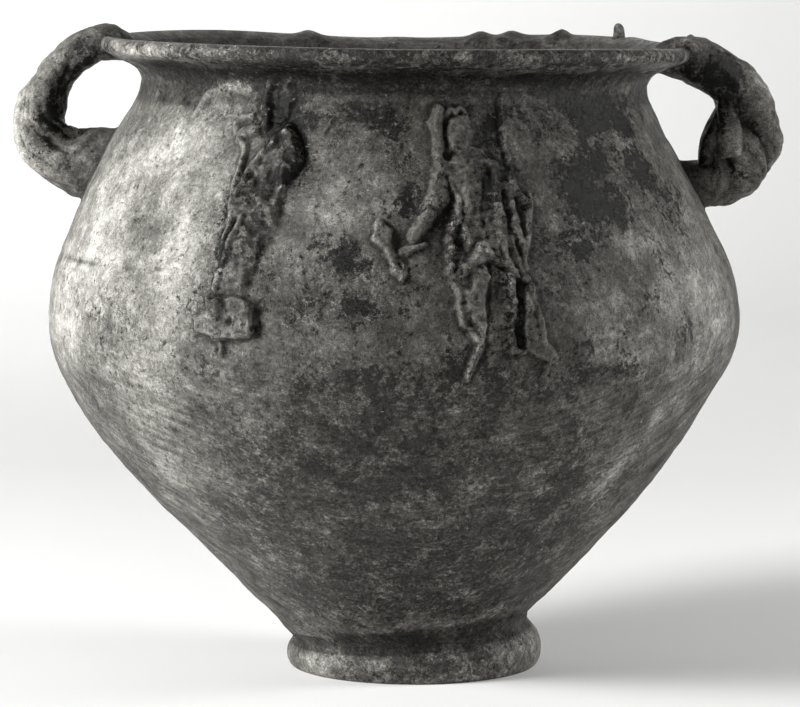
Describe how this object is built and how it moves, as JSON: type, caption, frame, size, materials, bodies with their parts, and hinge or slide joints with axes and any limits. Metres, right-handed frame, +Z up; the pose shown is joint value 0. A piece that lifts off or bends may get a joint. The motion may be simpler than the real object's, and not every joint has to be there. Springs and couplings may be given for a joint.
{
  "type": "lead-glazed relief bowl",
  "caption": "Deep hollow pottery bowl on a low ring foot, flared rim, twisted rope handles from lip to shoulder, worn relief figures round the shoulder; holds liquids.",
  "frame": {"origin": "on the table the bowl stands on, under the middle of its whole extent, handles included", "axes": "+Z up through the mouth, X along the line of the handles with +X to the viewer's right, -Y toward the front that carries the jug bearer and the staff bearer"},
  "size_m": [0.3444, 0.3094, 0.2897],
  "materials": {
    "lead_glaze": "worn, mottled lead glaze, satin with glossy patches and rubbed edges"
  },
  "bodies": {
    "root": {"relief_bowl": "lead_glaze"}
  },
  "joints": []
}
